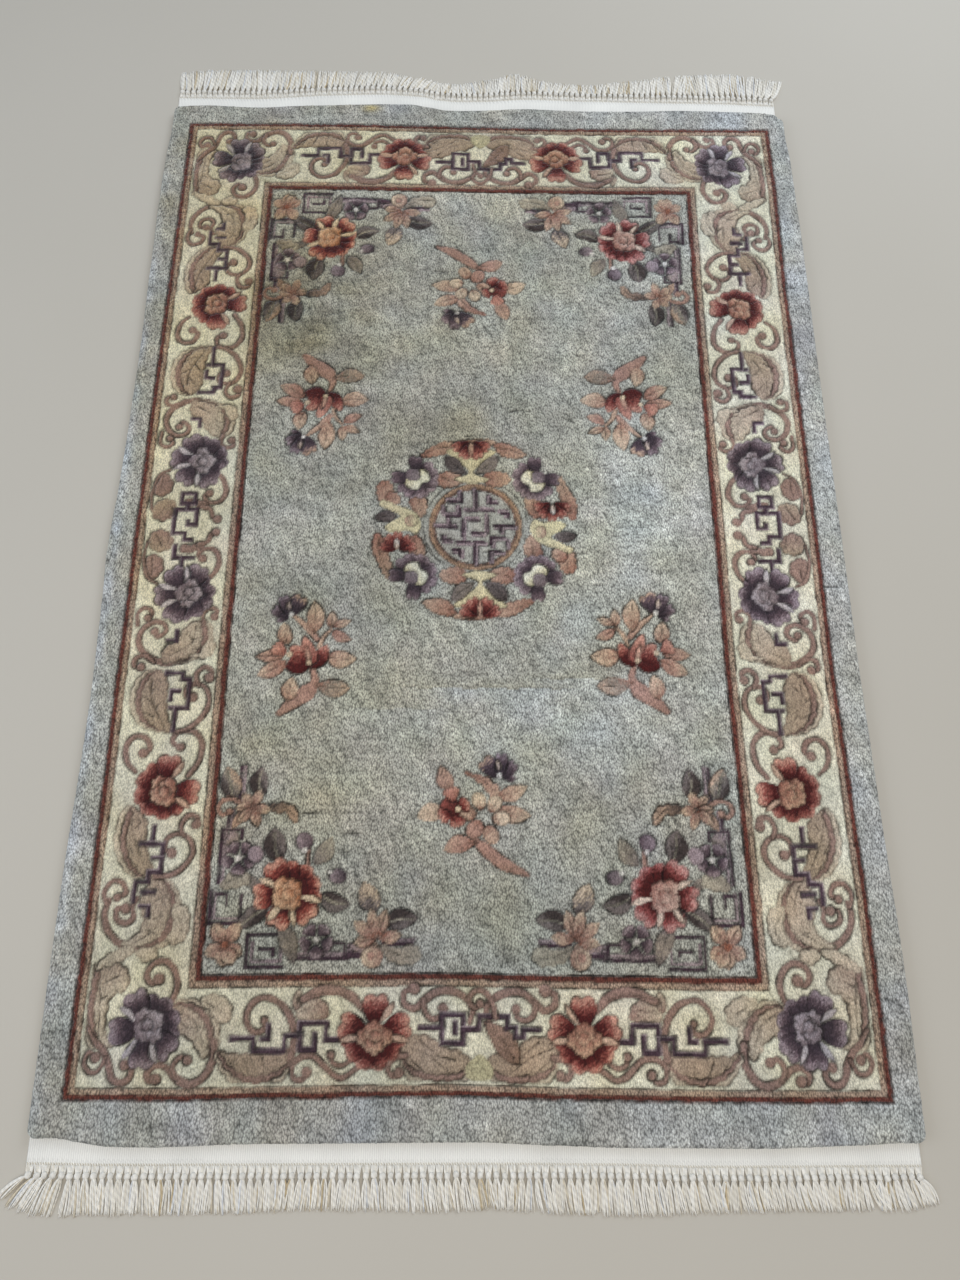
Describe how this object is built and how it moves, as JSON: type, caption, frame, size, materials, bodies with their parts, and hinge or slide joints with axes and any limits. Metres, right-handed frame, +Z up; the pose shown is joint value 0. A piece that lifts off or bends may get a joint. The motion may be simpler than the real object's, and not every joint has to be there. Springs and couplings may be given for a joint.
{
  "type": "peking rug",
  "caption": "Rectangular knotted wool rug lying flat, with carved pile, guard stripes, overcast sides, flat-woven cotton end bands and knotted fringes.",
  "frame": {"origin": "middle of the rug on the surface it lies on, at the bottom centre of its bounding box to within a few millimetres", "axes": "+Y along the rug's length, away from the picture's viewer; +X across it to the viewer's right; +Z up, out of the pile"},
  "size_m": [1.2559, 2.0093, 0.0151],
  "materials": {
    "wool_pile": "washed wool pile with a soft sheen",
    "wool_binding": "matt overcast wool yarn",
    "cotton_band": "matt flat-woven cotton",
    "cotton_fringe": "matt plied cotton yarn"
  },
  "bodies": {
    "root": {"pile_rug": "wool_pile", "side_cord_left": "wool_binding", "side_cord_right": "wool_binding", "end_band_near": "cotton_band", "end_band_far": "cotton_band", "fringe_near": "cotton_fringe", "fringe_far": "cotton_fringe"}
  },
  "joints": []
}
